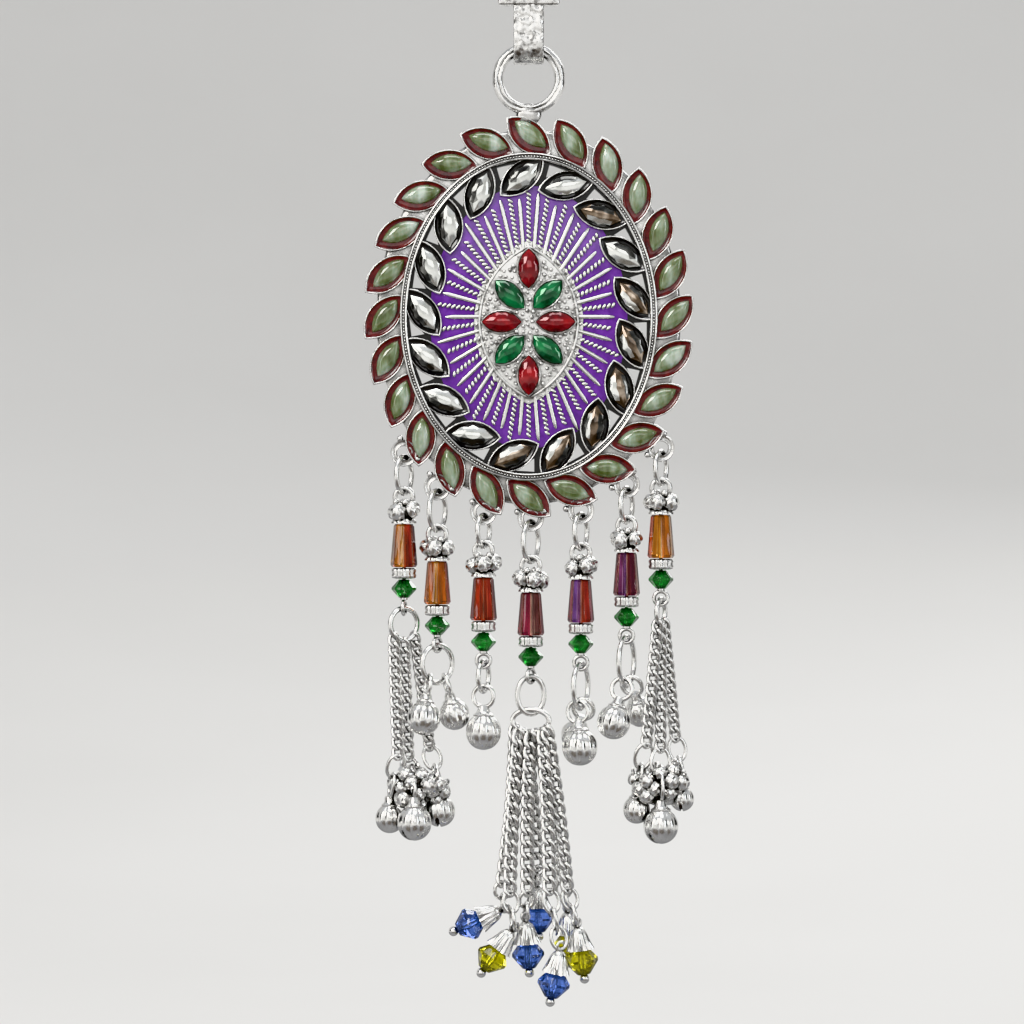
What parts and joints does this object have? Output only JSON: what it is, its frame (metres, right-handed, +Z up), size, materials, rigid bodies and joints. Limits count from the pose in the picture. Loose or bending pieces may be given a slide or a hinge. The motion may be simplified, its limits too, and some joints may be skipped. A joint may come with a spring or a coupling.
{
  "type": "hair bun ornament",
  "caption": "Silver-toned hair-bun pendant: oval enamelled medallion with stone borders, hanging from a strap hook, with strings of glass beads, bells and chain tassels.",
  "frame": {"origin": "inside top of the strap hook, where it hangs on the hair", "axes": "+Z up along the hanging pendant, -Y out of the medallion's face towards the viewer, +X to the viewer's right"},
  "size_m": [0.0614, 0.0165, 0.2063],
  "materials": {
    "silver": "bright silver plate with dark recesses",
    "red_stone": "faceted glass",
    "green_stone": "faceted glass",
    "amber_glass": "faceted coated glass",
    "gold_glass": "faceted coated glass",
    "flame_glass": "faceted coated glass",
    "wine_glass": "faceted coated glass",
    "violet_glass": "faceted coated glass",
    "rose_glass": "faceted coated glass",
    "green_glass": "faceted glass",
    "blue_glass": "faceted glass",
    "yellow_glass": "faceted glass"
  },
  "bodies": {
    "hook": {"bail_hook": "silver"},
    "pendant": {"medallion": "silver", "centre_stone_top": "red_stone", "centre_stone_bottom": "red_stone", "centre_stone_left": "red_stone", "centre_stone_right": "red_stone", "centre_stone_upper_left": "green_stone", "centre_stone_upper_right": "green_stone", "centre_stone_lower_left": "green_stone", "centre_stone_lower_right": "green_stone", "drop_1_string": "silver", "drop_2_string": "silver", "drop_3_string": "silver", "drop_4_string": "silver", "drop_5_string": "silver", "drop_6_string": "silver", "drop_7_string": "silver", "drop_1_crystal": "amber_glass", "drop_2_crystal": "gold_glass", "drop_3_crystal": "flame_glass", "drop_4_crystal": "wine_glass", "drop_5_crystal": "violet_glass", "drop_6_crystal": "rose_glass", "drop_7_crystal": "gold_glass", "drop_1_bicone": "green_glass", "drop_2_bicone": "green_glass", "drop_3_bicone": "green_glass", "drop_4_bicone": "green_glass", "drop_5_bicone": "green_glass", "drop_6_bicone": "green_glass", "drop_7_bicone": "green_glass", "drop_2_bell_a": "silver", "drop_2_bell_b": "silver", "drop_3_bell_a": "silver", "drop_5_bell_a": "silver", "drop_5_bell_b": "silver", "drop_6_bell_a": "silver", "drop_6_bell_b": "silver", "drop_1_tassel": "silver", "drop_7_tassel": "silver", "centre_tassel": "silver", "tassel_tip_a": "blue_glass", "tassel_tip_b": "yellow_glass", "tassel_tip_c": "blue_glass", "tassel_tip_d": "blue_glass", "tassel_tip_e": "blue_glass", "tassel_tip_f": "yellow_glass", "tassel_tip_g": "yellow_glass"}
  },
  "joints": [
    {"name": "pendant_swing", "type": "hinge", "parent": "hook", "child": "pendant", "pos_m": [0, 0, -0.028], "axis": [1, 0, 0], "range_deg": [-90, 90]}
  ]
}
